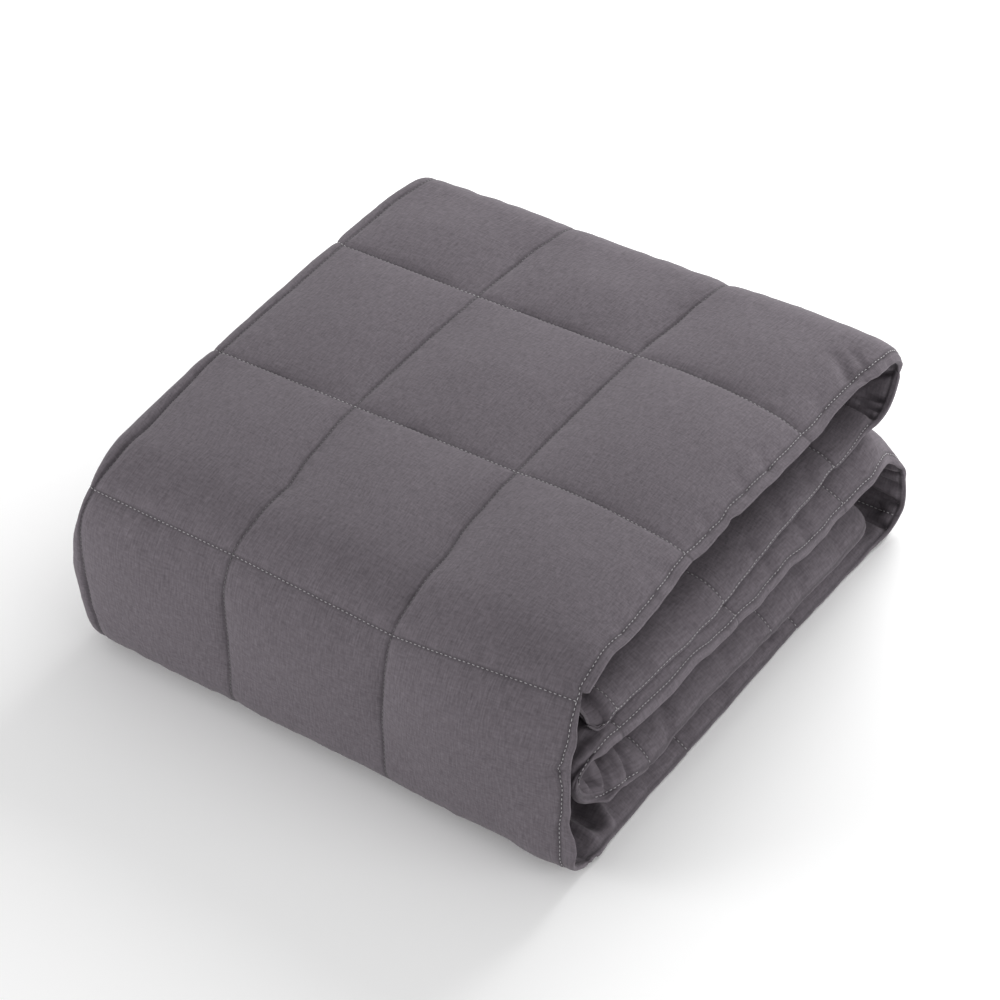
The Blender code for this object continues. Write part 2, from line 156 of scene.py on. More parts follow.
# The hem that shows: how far places near it lie off the plain section, each outward (right)
# and up. They are 40 and 20 inside the rim, the row of stitches 7 inside it, and the rim
# itself. The last number brings all of them forward. The hem of the lower rows and of the
# upper return is turned under.
HEM_KNOTS = (90.0 * MM, 40.0 * MM, 20.0 * MM, HEM_WIDTH, 0.0)
HEM_SHAPES = (
    # row, outward and up: 40 inside, 20 inside, stitches, rim; forward
    # level D, from the hidden end
    (   0, 6, 8,    8,   4,   12,   -4, 3,  -9, -6),
    (0.06, 6, 8,   12,   4,   18,   -7, 8, -12, -5),
    (0.35, 4, 8,   16,   6,   18, -7.5, 6, -12,  0),
    ( 0.8, 4, 8, 15.5,   6, 17.5,   -7, 6, -11,  0),
    (   1, 4, 7,   15,   4,   17,   -8, 6, -13,  0),
    ( 1.4, 4, 8,   15, 7.5, 16.5, -3.2, 5,  -8,  0),
    (1.65, 4, 8, 14.5,   8,   16,   -2, 4,  -7,  1),
    (   2, 5, 7, 15.5,   5,   17, -6.5, 6, -11,  0),
    # the inner fold
    ( 2.3,   4, 13,   12,  12,   13,   -2,    8,   -4,    8),
    ( 2.4,   4, 13,   12,  13, 10.5,   -1,    9,   -3,   11),
    (2.47,   3, 11,   10,  11,    7,    0,    0,   -3,   13),
    (2.54,   3,  6,   10,   7,    7,    1,   -3,   -3,   13),
    (2.62,   3,  3,   10,   4,    7,    1,   -4,   -3, 12.5),
    (2.72, 3.5,  2, 10.5,   2,  8.5,    0,   -3,   -5,   12),
    ( 2.8,   4,  1, 10.5,   1, 10.5,   -1,    1,   -6, 11.5),
    (2.87,   4,  1,   10, 1.5,   13, -0.5,    9,   -6,   10),
    (   3,   4,  2,   11, 0.5,   14,   -3, 10.5, -8.5,    6),
    # level C
    ( 3.2, 5, 3,   11,  2.5, 13.7, -1.7, 10.5,  -7.7, 5),
    ( 3.5, 6, 4, 12.5,  3.5, 14.5, -1.5,   11,  -7.5, 3),
    (   4, 7, 3,   14, -0.5,   17, -7.5,   13,   -13, 1),
    ( 4.5, 7, 3,   14,    0, 16.5,   -7, 12.5, -12.5, 0),
    (5.01, 8, 2,   15,   -3,   18,  -10, 13.5, -15.5, 0),
    # the lower curl
    ( 5.3, 8,   3,   15,  -1,   18,  -12,   13,   -17, 0),
    (5.51, 8,   3,   13,   0,   14,  -11, 10.5,   -17, 0),
    ( 5.6, 8,   2,   13,   0, 15.5,   -8,   12, -13.5, 0),
    (5.68, 8,   1, 13.5,   0,   17, -4.5,   14,  -8.5, 0),
    (5.76, 8,   0, 13.5,   0, 16.5, -2.5, 13.5,    -4, 0),
    (5.85, 8,   0,   14,   0,   16,    0, 12.5,    -1, 0),
    (5.97, 8,   0,   15,   0, 18.5,    0, 15.5,     0, 0),
    ( 6.1, 7,   0,   15, 0.5,   18,    0,   14,    -1, 0),
    (6.25, 6, 2.5, 13.5, 4.5,   17, -0.5, 10.5,  -2.5, 0),
    # level E
    ( 6.6, 5, 4.5, 13.5, 8, 16.4, -0.5, 7.5, -3, 0),
    ( 7.5, 5, 4.5,   13, 8, 16.2, -0.5, 6.8, -3, 0),
    (   8, 5,   4, 13.5, 7, 17.4, -0.5, 8.3, -3, 0),
    ( 8.4, 5, 4.5,   13, 8, 16.6, -0.5,   7, -3, 0),
    (8.75, 5, 3.5,   13, 6, 17.4, -0.5, 8.6, -3, 0),
    # the foot of the front
    (8.93,   4,   2, 12.5,   2,   18,   0, 12.5, -1.5,   2),
    (   9,   4,   1,   11,   1, 16.5,   0,   13,  0.5,   2),
    (9.05,   3, 0.5,   10, 0.5, 15.5, 0.5, 13.5,    1,   2),
    ( 9.1, 2.5,   0,  9.5,   0, 14.5, 0.5,   14,    1, 2.3),
    (9.14, 2.5,   0,    9,   0,   14,   0,   15,  0.5, 2.5),
    (9.18,   2,   0,  8.5,   0, 13.5,   0,   16,    0, 2.3),
    (9.23,   2,   0,    8,   0, 13.2,   0, 16.5,    0,   2),
    (9.29,   2,   0,  7.5,   0, 12.6,   0,   15,    0, 1.5),
    (9.36,   2,   0,  7.5,   0, 12.2,   0, 10.5,    0,   1),
    # the front
    (  9.45,   2, 0,   8, 0, 13.3,    0, 11.5,  0, 0),
    (  9.58, 1.5, 0, 6.5, 0, 10.8,    0,    8,  0, 0),
    (   9.7, 1.5, 0,   5, 0,  7.5,    0,  7.6,  0, 0),
    (  9.76, 1.5, 0,   6, 0, 10.3,    0,    8,  0, 0),
    (  9.84, 1.5, 0,   7, 0, 11.5,    0,  9.8,  0, 0),
    (  9.92, 1.5, 0,   6, 0,   10,    0,  6.5,  0, 0),
    (    10, 1.5, 0, 5.6, 0,    9,    0,  4.6,  0, 0),
    (10.035, 1.5, 0,   5, 0,    8, -0.3,  0.6,  0, 0),
    ( 10.05, 1.5, 0, 4.6, 0,  6.5, -0.5,  5.5, -1, 0),
    # level A
    (10.25, 1.5, 0, 4.6,  0, 5.6, -0.5,  4.6,   -1, 0),
    ( 10.9,   0, 0,   1,  0,   2,   -1,    1,   -2, 0),
    (11.15,   0, 0,   1,  0, 1.5,   -1,  0.5,   -2, 0),
    (11.32,   0, 0,   0,  0,   0,   -1, -2.5, -1.5, 0),
    (11.38,   0, 0,   0,  0,   0,   -1,  0.5,   -2, 0),
    (11.48,   0, 0,   0,  0,   0,   -1,    0,   -2, 0),
    (   12,   0, 0,   1, -1, 1.5, -2.5,    2,   -3, 0),
    # the upper curl
    ( 12.5,   1, 0,   2,   0,   2, -0.5,   1,    0, 0),
    ( 12.6,   1, 0,   2, 0.5, 2.5,    0,   2,   -2, 0),
    ( 12.7, 1.5, 0, 3.5, 0.5,   5, -0.5,   4, -4.5, 0),
    (12.79, 1.5, 0,   4, 0.5, 6.5,   -2,   4,   -8, 0),
    ( 12.9, 1.5, 0,   4,   0, 6.5, -2.5, 3.2,   -8, 0),
    (12.97, 1.5, 0,   4,   0, 6.2, -1.2, 2.6, -5.5, 0),
    (13.06, 1.5, 0, 3.5,   0, 5.5,    0, 3.4,   -1, 0),
    (13.24,   2, 1, 3.5, 1.5,   5,    0,   3,    0, 0),
    ( 13.4,   2, 2,   4,   3,   5,  0.5, 1.5,   -1, 0),
    # level B
    ( 13.6, 2, 3, 4.8,   4,  5.5,    1, -2,   -2, 0),
    (13.94, 3, 5, 6.5,   6,    7,  0.5, -5, -3.5, 0),
    ( 14.5, 3, 5,   7, 5.5,    8, -0.5, -4, -4.5, 0),
    (   15, 4, 4,  10,   1, 11.5,   -8, -1,  -12, 0),
    (15.56, 4, 4, 8.5,   3,  9.5,   -6, -3,  -10, 2),
    ( 16.2, 4, 4, 8.5,   3,    9,   -6, -3,  -10, 3),
    ( 16.5, 4, 4,   8,   0,    8,  -12, -4,  -16, 4),
    ( 16.8, 3, 3,   6,  -1,    7,  -12, -4,  -14, 6),
    (   17, 2, 2,   4,   0,    4,   -7, -4,   -9, 8),
)

# Share of the hem's small waves.
HEM_WAVE_SHARES = (
    # row, share
    (0, 0.6), (2.4, 0.6), (2.6, 1), (5.4, 1), (5.6, 0.6), (6.1, 0.3), (9, 0.3), (9.1, 1),
    (17, 1),
)

# How far back the rim is turned round the outside of the two curls.
RIM_TUCKS = (
    # row, back
    (5.45, 0), (5.58, -1), (5.68, 0), (5.8, 1.5), (6.1, 1.5), (6.3, 0),
    (12.62, 0), (12.76, -2.5), (12.9, -2), (13.02, 0), (13.1, 1), (13.42, 1.5),
    (13.55, 0),
)

# How far each seam along the strip strays to the right.
SEAM_STRAYS = (
    # row, left fold, fold's seam, first seam, second seam
    (  8.6,    1,   0,    0,   0),
    ( 9.05,    7,  14,   12,  11),
    ( 9.15,    8,  12,   12,  11),
    (  9.3,  5.5, 6.5,   12,  10),
    (  9.5,  1.5,   4,   11,   8),
    (  9.7,  4.5,   2,    9, 8.3),
    ( 9.85, 11.5,   2,  7.5, 8.5),
    (   10,   11,   5,  7.5, 7.5),
    (10.15,    9,   9, 10.5, 9.5),
    (10.35,    8, 9.5,   11, 8.5),
    ( 10.6,  7.3,   6,    5,   3),
    ( 10.9,    5, 2.5,  0.5, 0.5),
    ( 11.3,    6,   2,    0,   0),
    ( 11.6,  4.5,   2,    0,   0),
    (   12,    2,   1,    1,   0),
    ( 12.5,    5,   2,    4,   5),
    ( 12.8,  7.5,   8,   11,  10),
    (   13,    7,   8,   14,  12),
    ( 13.3,    3,   3,    4,   4),
    (   14,    0,   0,    0,   0),
)

# How far a seam across the strip lies further along it than the solid's straight seam.
SEAM_SAGS = (
    # row, fold's seam, first seam, second seam, stitches of the hem
    (0.5,  0,    0,   0,    0),
    (  1,  0,    0,   0,   -4),
    (  2,  0,    0,   0,   -1),
    (2.4,  0,    0,   0,    0),
    (  3,  0,    0,   0,    3),
    (  4,  0,    0,   0,    5),
    (  5,  0,    0,   0,    0),
    (  6,  0,    0,   0,    0),
    (  7,  0,    0,   0,   -3),
    (  8,  0,    0,   0,   -3),
    (  9,  0,    0,   0,    0),
    ( 10, -2, -2.3,  -5,    3),
    ( 11, -2,    1, 4.2,   -2),
    ( 12, -6,   -2, 3.5, -1.5),
    ( 13,  0,    0,   0,    0),
    ( 14,  0,    0,   0,    0),
    ( 15,  0,    0,   0,   -6),
    ( 16,  0,    0,   0,    0),
)

# How the bundle is skewed: back and up on the side of the hem, and back on the left side.
# Hump is how far the last column of squares rises beside the hem.
SKEW_SHAPES = (
    # row, back, up, hump, left back
    ( 4.6,  0, 0,   0,   0),
    ( 5.4,  6, 4,   0,   0),
    (   6,  5, 0,   0,   0),
    ( 6.5,  0, 0,   0,   0),
    ( 8.9,  0, 0,   0,   1),
    ( 9.1, -3, 0, 0.5, 1.8),
    ( 9.6, -2, 0,   4, 0.6),
    (  10,  0, 0, 4.5,   0),
    (  11,  0, 0,   5,   0),
    (  12, -3, 0,   5,   0),
    (12.4,  3, 0,   3,   0),
    (12.9, 11, 4, 0.5,   0),
    (13.3,  9, 2,   0,   0),
    (  14,  2, 0,   0,   0),
    (14.5,  0, 0,   0,   0),
)

# Soft troughs (negative) and ridges (positive), given one by one. Each runs from one row and
# place across to another; width is half its breadth.
CREASES = (
    # side, row, across, row, across, width, height
    # the upper curl: the turned hem's edge, the fold over the return and its wrinkles
    (-1,  13.13, 24,  13.02, 3, 1.4, -3.6),
    (-1,  13.06, 24,  12.96, 4, 2.2,    2),
    (-1,  13.37, 34,  13.35, 5, 1.6,   -5),
    (-1,  13.44, 30,  13.42, 6,   3,  2.5),
    (-1,  13.25, 21, 13.225, 6, 1.3, -4.2),
    (-1,  13.28, 19, 13.255, 4, 1.1,  1.8),
    (-1, 13.305, 20, 13.285, 5, 1.3, -4.2),
    (-1, 13.335, 18, 13.315, 5,   1,  1.6),
    # the lower curl
    (-1,  5.82, 22, 5.765,  3, 1.4, -3.6),
    (-1,  5.77, 22, 5.715,  5,   2,  1.6),
    (-1, 5.935, 32, 5.955,  5, 1.4,   -5),
    (-1, 5.905, 28, 5.925,  4, 1.8,    2),
    (-1,  5.87, 24, 5.885,  4, 1.2,   -3),
    (-1, 5.985, 34,     6, 14, 3.6,   -6),
    (-1, 6.045, 32, 6.055,  5, 1.6, -5.4),
    (-1,  6.08, 28,  6.09,  5, 2.2,    2),
    # pleats of the top hem, and gathers that cross its stitches
    (1, 12.61, 8.5, 12.57, -1, 0.9, -1.1),
    (1, 12.77, 8.5, 12.81, -1, 0.9, -1.1),
    (1, 12.62,  28, 12.51,  6,   4, -2.2),
    (1,  12.7,  22, 12.63,  6, 1.8, -1.3),
    (1, 12.28,  24, 12.22,  2, 2.5, -1.6),
    (1, 11.74,  20, 11.68,  2,   2,   -2),
    (1, 11.54,  20, 11.48,  2,   2,   -2),
    (1,  11.2,  18, 11.17,  2,   2, -1.5),
    (1, 10.72,  20, 10.68,  2, 2.2, -1.5),
    (1,  10.4,  18, 10.37,  2,   2, -1.4),
    (1,  9.62,  14,  9.71,  0, 1.5, -1.6),
    # the return above, the fold below it, and the lowest row
    (-1, 14.68, 19, 14.72,  6,   2, -2.6),
    (-1,  14.4, 22, 14.45,  8,   3,   -2),
    (-1, 14.15, 20, 14.18,  8, 2.5, -1.6),
    (-1, 15.35, 22,  15.3,  8,   3, -1.8),
    (-1,  15.7, 22, 15.72,  8,   3, -1.4),
    ( 1,  4.75, 22,  4.67,  8, 2.5, -2.6),
    ( 1,  4.41, 22,  4.34,  7, 2.5, -2.2),
    ( 1,  4.88, 24,  4.84,  8, 2.5, -1.4),
    ( 1,   3.6, 22,  3.55,  8, 2.5, -1.8),
    ( 1,  5.22, 24,   5.2,  7, 2.5, -1.8),
    (-1,  1.73, 24,  1.85,  5,   3, -3.2),
    (-1,   1.3, 22,  1.36,  7, 3.5, -2.2),
    (-1,  1.08, 20,  1.12,  7,   2, -1.8),
    (-1,   0.6, 22,  0.66,  7,   3, -2.2),
    (-1,  0.25, 22,  0.28,  7, 2.5, -1.8),
    (-1,  7.16, 22,  7.17, 11,   3, -2.6),
    (-1,   7.6, 20,  7.64,  6,   3, -2.4),
    (-1,  7.93, 20,  7.96,  6,   2, -2.2),
    (-1,   8.3, 22,  8.36,  6,   3, -2.4),
    # the near end: folds of the inner turn and the hollow under it
    (-1,  2.19, 30,  2.27,  5, 2.6,  5.5),
    (-1,  2.12, 30,   2.2,  5, 1.8,   -5),
    (-1,   2.4, 26,  2.42,  7,   5,    7),
    (-1,  2.31, 26,  2.38,  7, 1.8,   -9),
    (-1,  2.47, 25, 2.415, 13, 1.6,   -8),
    (-1, 2.415, 19, 2.445,  8, 1.6,   -8),
    (-1,  2.51, 21,  2.49, 10, 1.5,   -5),
    ( 1,  2.44,  1,  2.72,  9, 1.2, -2.4),
    ( 1,  2.62, 16,  2.86,  5, 1.2, -2.4),
    ( 1,  2.42,  9,  2.62, 20, 1.5, -2.4),
    ( 1,  2.74, 20,  2.92, 12, 1.6,   -2),
    (-1,  8.79, 30,  8.83, 14,   4,   -5),
    (-1,  8.89, 30,  8.88,  9,   3,  5.5),
    (-1,  8.68, 24,  8.78,  8, 2.6,  4.5),
    (-1,  9.05, 26,  9.08,  3, 1.3, -3.6),
    (-1,  16.5, 30, 16.78,  4, 2.6,  -12),
    (-1, 16.86, 30,    17,  8, 2.6,    3),
    # the deep line beside the left fold
    (1, 9.9, 338.5, 11.1, 338.5, 1.8, -1.8),
    (1, 9.1, 338.5,  9.5, 338.5, 1.6, -1.2),
)

# Stretches of the hem with creases that need finer rows.
FINE_STRETCHES = (
    # first row, last row, step
    (2.05, 2.95, 1.3), (5.66, 6.10, 1.0), (8.62, 9.12, 1.4), (9.58, 9.76, 1.5),
    (10.0, 10.08, 0.7), (11.28, 11.42, 1.2), (12.5, 12.84, 1.2), (12.90, 13.44, 0.9),
    (16.7, 17.0, 1.2),
)

# ---------- sizes of the finish
HEM_HALF = 1.3 * MM  # half the folded hem's thickness
HEM_ROUND = 1.3 * MM  # over which its rim is rounded
HEM_WAVE_REACH = 26.0 * MM  # how far in from the rim its waves reach
HEM_DRAWN_IN = 1.5 * MM  # how far a seam draws the rim in
TUCK_REACH = 1.3 * HEM_WIDTH
STITCH_SINK = 0.55 * MM  # how far the thread draws the cloth in
STITCH_SINK_REACH = 1.1 * MM
SEAM_SOFTNESS = 0.08  # 0 gives the steepest puff beside a seam
RIDE_FADE = 32.0 * MM  # the face doesn't ride up at the rim, but this far in
FILL_FADE_START = 0.4  # share of the left fold where the outer fill fades
STRAY_FADE = 60.0 * MM  # over which strays fade under the left fold
CREASE_FADE = (4.0 * MM, 11.0 * MM)  # creases of the inner face end between these places
CREASE_RISE = (-0.15, 0.25)  # shares of a crease's length where it starts
CREASE_FALL = (0.75, 1.15)  # and where it ends
NORMAL_NUDGE = 0.4 * MM  # half the distance over which a slope is measured

# Fine unevenness: height, length of a swing and seed of each wave, in metres.
HEM_WAVES_SIDEWAYS = ((0.9 * MM, 0.013, 31.0), (0.9 * MM, 0.034, 33.0))
HEM_WAVES_LIFTING = ((0.9 * MM, 0.012, 35.0), (1.3 * MM, 0.031, 37.0))
DRIFTS = ((0.55 * MM, 0.045, 21.0), (0.20 * MM, 0.017, 23.0))
DRIFT_FADE = 12.0 * MM  # they fade to nothing at the seams
INNER_RELIEF = 0.8  # share of them on the inner face

# Small gathers beside the seams: height, length of a swing, reach, and the seed of the
# first seam with the step to the next.
ROW_GATHERS = (0.85 * MM, 9.0 * MM, 15.0 * MM, 3.0, 7.0)
COLUMN_GATHERS = (0.45 * MM, 8.0 * MM, 9.0 * MM, 11.0, 5.0)
GATHER_START = 2.0 * MM  # over which they rise from the seam itself

HEM_ZONE = 60.0 * MM  # the stretch beside the hem that has its own fine rows
SEAM_STEP = 0.3 * MM  # between the places that a row of the mesh may take
FIRST_STEP = 1.0 * MM  # mesh step beside a seam
LAST_STEP = 0.4 * MM  # least step before a seam
STEP_GROWTH = 1.8
HEM_STEP = 4.2 * MM
OPEN_STEP = 3.8 * MM
COVERED_STEP = 11.0 * MM
BODY_COLUMN_STEP = 3.2 * MM
INNER_COLUMN_STEP = 14.0 * MM
TURN_DEGREES = 9.0  # mesh step in the turns of the line
HIDDEN_TURN_DEGREES = 15.0
FOLD_DEGREES = 11.0  # and round the left fold
INNER_FOLD_DEGREES = 30.0
HIDDEN_STEPS = 8  # on each hidden third and in the inner fold
ZONE_GAP = 0.6  # least first step after the hem zone, as its share
ZONE_SETTLE = 12.0 * MM  # beyond this, short steps are kept there too
SHORT_STEP = 0.9  # share below which a step is a short one

# Columns of the mesh beside the rims, in millimetres from the rim or from the stitches.
RIM_COLUMNS = (0.0, 0.12, 0.5, 1.2, 2.2, 3.6, 4.9, 5.8, 6.5)
ZONE_COLUMNS = (0.0, 0.6, 1.3, 2.3, 3.7, 5.4, 7.4, 9.8, 12.4, 15.2, 18.2, 21.4, 24.8, 28.4, 32.2,
                36.2, 40.4, 44.8, 49.0)
HIDDEN_RIM_COLUMNS = (5.0, 2.0, 0.6, 0.0)

STITCH_PITCH = 3.0 * MM
STITCH_LENGTH = 1.95 * MM
STITCH_NUDGE = 0.3 * MM  # over which the cloth's slope under one is measured
ARC_STEP = 0.5 * MM  # over which a seam's length is measured
THREAD_RADIUS = 0.30 * MM
THREAD_SIDES = 5
TIP_DEPTH = 0.9  # of a stitch's ends, in thread radii
STITCH_RINGS = (
    # share of its length, width and height in thread radii
    (0.12, 0.75, -0.10), (0.50, 1.00, 0.55), (0.88, 0.75, -0.10),
)
INNER_HEM_ROWS = ((2.12, 2.45), (13.45, 16.9))  # where the hem's inner stitches show

CLOTH_TONE = (0.120, 0.1055, 0.119)  # the cloth's mean colour
CLOTH_DARKEST = 0.52  # shares of it
CLOTH_LIGHTEST = 1.48
# Painted shade: a dark tone laid on the cloth in a narrow band along each seam, standing in for
# the shade in its groove.
SEAM_SHADE_TONE = (0.028, 0.025, 0.028, 1.0)
SEAM_SHADE_WIDTH = 1.5 * MM
SEAM_SHADE_SHARE = 0.45  # how much of the painted shade's tone shows on a seam
SEAM_NEARNESS = 0.7  # makes the painted seam shade along the strip wider than across
CLOTH_ROUGHNESS = (0.84, 0.93)
YARN_WIDTH = 0.95 * MM
YARN_RUN = 7.0 * MM
WARP_WEIGHT = 0.6
WEFT_WEIGHT = 0.4
MOTTLE_SCALE = 520.0  # swings in a metre of cloth
MOTTLE_WEIGHT = 0.55
PATCH_SCALE = 28.0
PATCH_WEIGHT = 0.15
SLUB_SCALES = (900.0, 40.0, 0.0)
SLUB_RANGE = (0.60, 0.72)  # only the pattern's peaks are slubs
SLUB_WEIGHT = 0.06
WEAVE_RELIEF = 0.14 * MM
MOTTLE_RELIEF = 0.20 * MM
FIBRE_SCALE = 2500.0
FIBRE_RELIEF = 0.05 * MM
THREAD_TONES = (0.26, 0.46)
# Painted shade: the same thread made darker for the long seams, standing in for the shade of the
# grooves it lies in.
SHADED_THREAD_TONES = (0.07, 0.13)

FLOOR_HALF = 6.0
FLOOR_DROP = 0.4 * MM
FLOOR_TONE = (0.97, 0.97, 0.97, 1.0)
WORLD_STRENGTH = 0.58
LAMPS = (
    # name, azimuth, elevation, distance, size, power
    ("back key", 180.0, 34.0, 1.2, 0.8, 13.4),
    ("right fill", 95.0, 10.0, 2.0, 1.4, 21.0),
    ("left front fill", -45.0, 12.0, 2.5, 1.5, 39.0),
)

CAMERA_AZIMUTH = 34.0
CAMERA_ELEVATION = 40.5
CAMERA_DISTANCE = 2.0916
CAMERA_TARGET = (0.0138, -0.0097, 0.0792)
CAMERA_LENS = 125.93
SENSOR = 36.0


# ---------- small tools
def smooth(share):
    """0 at 0 and 1 at 1, level at both."""
    return share * share * (3.0 - 2.0 * share)


def ease(value, low, high):
    """0 below low, 1 above high, smooth between."""
    return smooth(np.clip((value - low) / (high - low), 0.0, 1.0))


def unit(vectors):
    return vectors / np.linalg.norm(vectors, axis=-1, keepdims=True)


def scatter(cell, seed):
    """A fixed number between -1 and 1 for each whole-numbered cell."""
    value = np.sin(cell * 12.9898 + seed * 78.233) * 43758.5453
    return 2.0 * (value - np.floor(value)) - 1.0


def wander(x, seed):
    """Smooth uneven wave of one coordinate, about one swing per unit."""
    cell = np.floor(x)
    share = smooth(x - cell)
    return scatter(cell, seed) * (1.0 - share) + scatter(cell + 1.0, seed) * share


def drift(x, y, seed):
    """Smooth uneven field of two coordinates, about one swing per unit."""
    cell = np.floor(y)
    share = smooth(y - cell)
    between_rows = 57.0                 # so far apart that neighbours don't repeat
    low = wander(x + cell * between_rows, seed)
    high = wander(x + (cell + 1.0) * between_rows, seed)
    return low * (1.0 - share) + high * share


# ---------- the middle line
def line_pieces():
    """The middle line as straight runs and round turns: name, kind, length, start,
    start direction and turn angle of each. All turns go clockwise."""
    points = [np.array([y, z]) for _, y, z, _ in CORNERS]
    radii = [radius for _, _, _, radius in CORNERS]
    pieces = []
    cursor = points[0]
    for index in range(1, len(points)):
        direction = unit(points[index] - points[index - 1])
        if index + 1 < len(points):
            after = unit(points[index + 1] - points[index])
            angle = np.arccos(np.clip(direction @ after, -1.0, 1.0))
            setback = radii[index] * np.tan(angle / 2.0)
        else:
            angle = 0.0
            setback = 0.0
        run_end = points[index] - direction * setback
        run = max((run_end - cursor) @ direction, 0.0)
        pieces.append((CORNERS[index - 1][0], "run", run, cursor, direction, 0.0))
        if angle > 0.0:
            pieces.append((CORNERS[index][0], "turn", radii[index] * angle, run_end,
                           direction, angle))
            cursor = points[index] + after * setback
    return pieces


PIECES = line_pieces()
PIECE_LENGTHS = np.array([piece[2] for piece in PIECES])
PIECE_STARTS = np.concatenate([[0.0], np.cumsum(PIECE_LENGTHS)[:-1]])
PIECE_PLACES = np.array([piece[3] for piece in PIECES])
PIECE_DIRECTIONS = np.array([piece[4] for piece in PIECES])
PIECE_ANGLES = np.array([piece[5] for piece in PIECES])
LINE_LENGTH = PIECE_LENGTHS.sum()


def piece_at(along):
    """Index of the piece at each distance along the line."""
    return np.clip(np.searchsorted(PIECE_STARTS, along, side="right") - 1, 0, None)


def line_at(along):
    """Middle of the strip and its outward normal, as (y, z) pairs, at each distance."""
    index = piece_at(along)
    angle = PIECE_ANGLES[index]
    direction = PIECE_DIRECTIONS[index]
    outward = np.stack([-direction[..., 1], direction[..., 0]], -1)
    rest = along - PIECE_STARTS[index]
    turning = angle > 0.0
    radius = np.where(turning, PIECE_LENGTHS[index] / np.where(turning, angle, 1.0), 0.0)
    swept = np.where(turning, rest / np.where(turning, radius, 1.0), 0.0)[..., None]
    run = np.where(turning, 0.0, rest)[..., None]
    place = PIECE_PLACES[index] + direction * run
    place = place + radius[..., None] * (np.sin(swept) * direction
                                         - (1.0 - np.cos(swept)) * outward)
    return place, np.cos(swept) * outward + np.sin(swept) * direction


def place_on_line(corner, place):
    """Distance along the line of a seam's place."""
    kind, value = place
    wanted = "turn" if kind == "turn" else "run"
    index = next(i for i, p in enumerate(PIECES) if p[0] == corner and p[1] == wanted)
    if kind == "turn":
        return PIECE_STARTS[index] + value * PIECE_LENGTHS[index]
    return PIECE_STARTS[index] + (value - PIECE_PLACES[index][0]) / PIECE_DIRECTIONS[index][0]


SEAM_ALONG = np.array([place_on_line(corner, place) for corner, place in ROW_SEAMS])
ROW_MARKS = np.concatenate([[0.0], SEAM_ALONG, [LINE_LENGTH]])
OPEN_BEGIN = place_on_line("front low", ("turn", 0.0))
OPEN_END = place_on_line("upper curl low", ("turn", 1.0))


def row_at(along):
    """Row of each distance along the line."""
    return np.interp(along, ROW_MARKS, np.arange(len(ROW_MARKS)))


def along_at(row):
    """Distance along the line of a row."""
    return np.interp(row, np.arange(len(ROW_MARKS)), ROW_MARKS)


def by_row(table, along):
    """The columns of one of the tables above at each distance, in metres."""
    table = np.array(table)
    rows = table[:, 0]
    row = row_at(along)
    index = np.clip(np.searchsorted(rows, row, side="right") - 1, 0, len(rows) - 2)
    share = np.clip((row - rows[index]) / (rows[index + 1] - rows[index]), 0.0, 1.0)
    share = 0.5 * share + 0.5 * smooth(share)
    low = table[index, 1:]
    high = table[index + 1, 1:]
    values = (low + (high - low) * share[..., None]) * MM
    return [values[..., column] for column in range(values.shape[-1])]


# ---------- across the strip
OUTER_WIDTH = HEM_X - LEFT_FOLD_X
LEFT_FOLD_MIDDLE = OUTER_WIDTH + np.pi * LAYER_PITCH / 2.0
LEFT_FOLD_END = OUTER_WIDTH + np.pi * LAYER_PITCH
INNER_TURN_X = INNER_FOLD_X - LAYER_PITCH / 2.0
INNER_FOLD_START = LEFT_FOLD_END + INNER_TURN_X - LEFT_FOLD_X
INNER_FOLD_END = INNER_FOLD_START + np.pi * LAYER_PITCH / 2.0
SHEET_WIDTH = INNER_FOLD_END + INNER_TURN_X - INNER_HEM_X
COLUMN_ACROSS = [HEM_WIDTH] + [HEM_X - x for x in COLUMN_SEAMS[::-1]]
HIDDEN_SQUARE = (SHEET_WIDTH - HEM_WIDTH - COLUMN_ACROSS[-1]) / HIDDEN_COLUMNS
COLUMN_ACROSS = np.array(COLUMN_ACROSS + [COLUMN_ACROSS[-1] + HIDDEN_SQUARE * (k + 1)
                                          for k in range(HIDDEN_COLUMNS)])

# Places that sags and strays are given at: the hem's stitches (sags only), the three seams
# along the strip, and the middle of the left fold (strays only).
SEAM_KNOTS = (*COLUMN_ACROSS[:4], LEFT_FOLD_MIDDLE)


def section_at(across):
    """x, offset from the middle line, and how far the outer face looks along it."""
    half = LAYER_PITCH / 2.0
    left = (across - OUTER_WIDTH) / LAYER_PITCH
    inner = (across - INNER_FOLD_START) / half
    parts = [across <= OUTER_WIDTH, across <= LEFT_FOLD_END, across <= INNER_FOLD_START,
             across <= INNER_FOLD_END]
    x = np.select(parts, [HEM_X - across,
                          LEFT_FOLD_X - LAYER_PITCH * np.sin(left),
                          LEFT_FOLD_X + across - LEFT_FOLD_END,
                          INNER_TURN_X + half * np.sin(inner)],
                  INNER_TURN_X - (across - INNER_FOLD_END))
    offset = np.select(parts, [LAYER_PITCH, LAYER_PITCH * np.cos(left), -LAYER_PITCH,
                               -half - half * np.cos(inner)], 0.0)
    facing = np.select(parts, [1.0, np.cos(left), -1.0, -np.cos(inner)], 1.0)
    return x, offset, facing


def quilt_at(distance, seams):
    """Quilting coordinate, with 0, 1, 2 ... on the seams, and the nearest seam's index and
    distance."""
    coordinate = np.interp(distance, seams, np.arange(len(seams)))
    away = np.abs(distance[..., None] - seams)
    return coordinate, away.argmin(-1), away.min(-1)


def crown(coordinate):
    """A parabola between two seams: 0 on them and 1 half way."""
    share = coordinate - np.floor(coordinate)
    return np.clip(4.0 * share * (1.0 - share), 0.0, 1.0)


def puff(coordinate):
    """Like crown, but steep beside the seams."""
    height = crown(coordinate)
    return height / (np.sqrt(height) + SEAM_SOFTNESS)


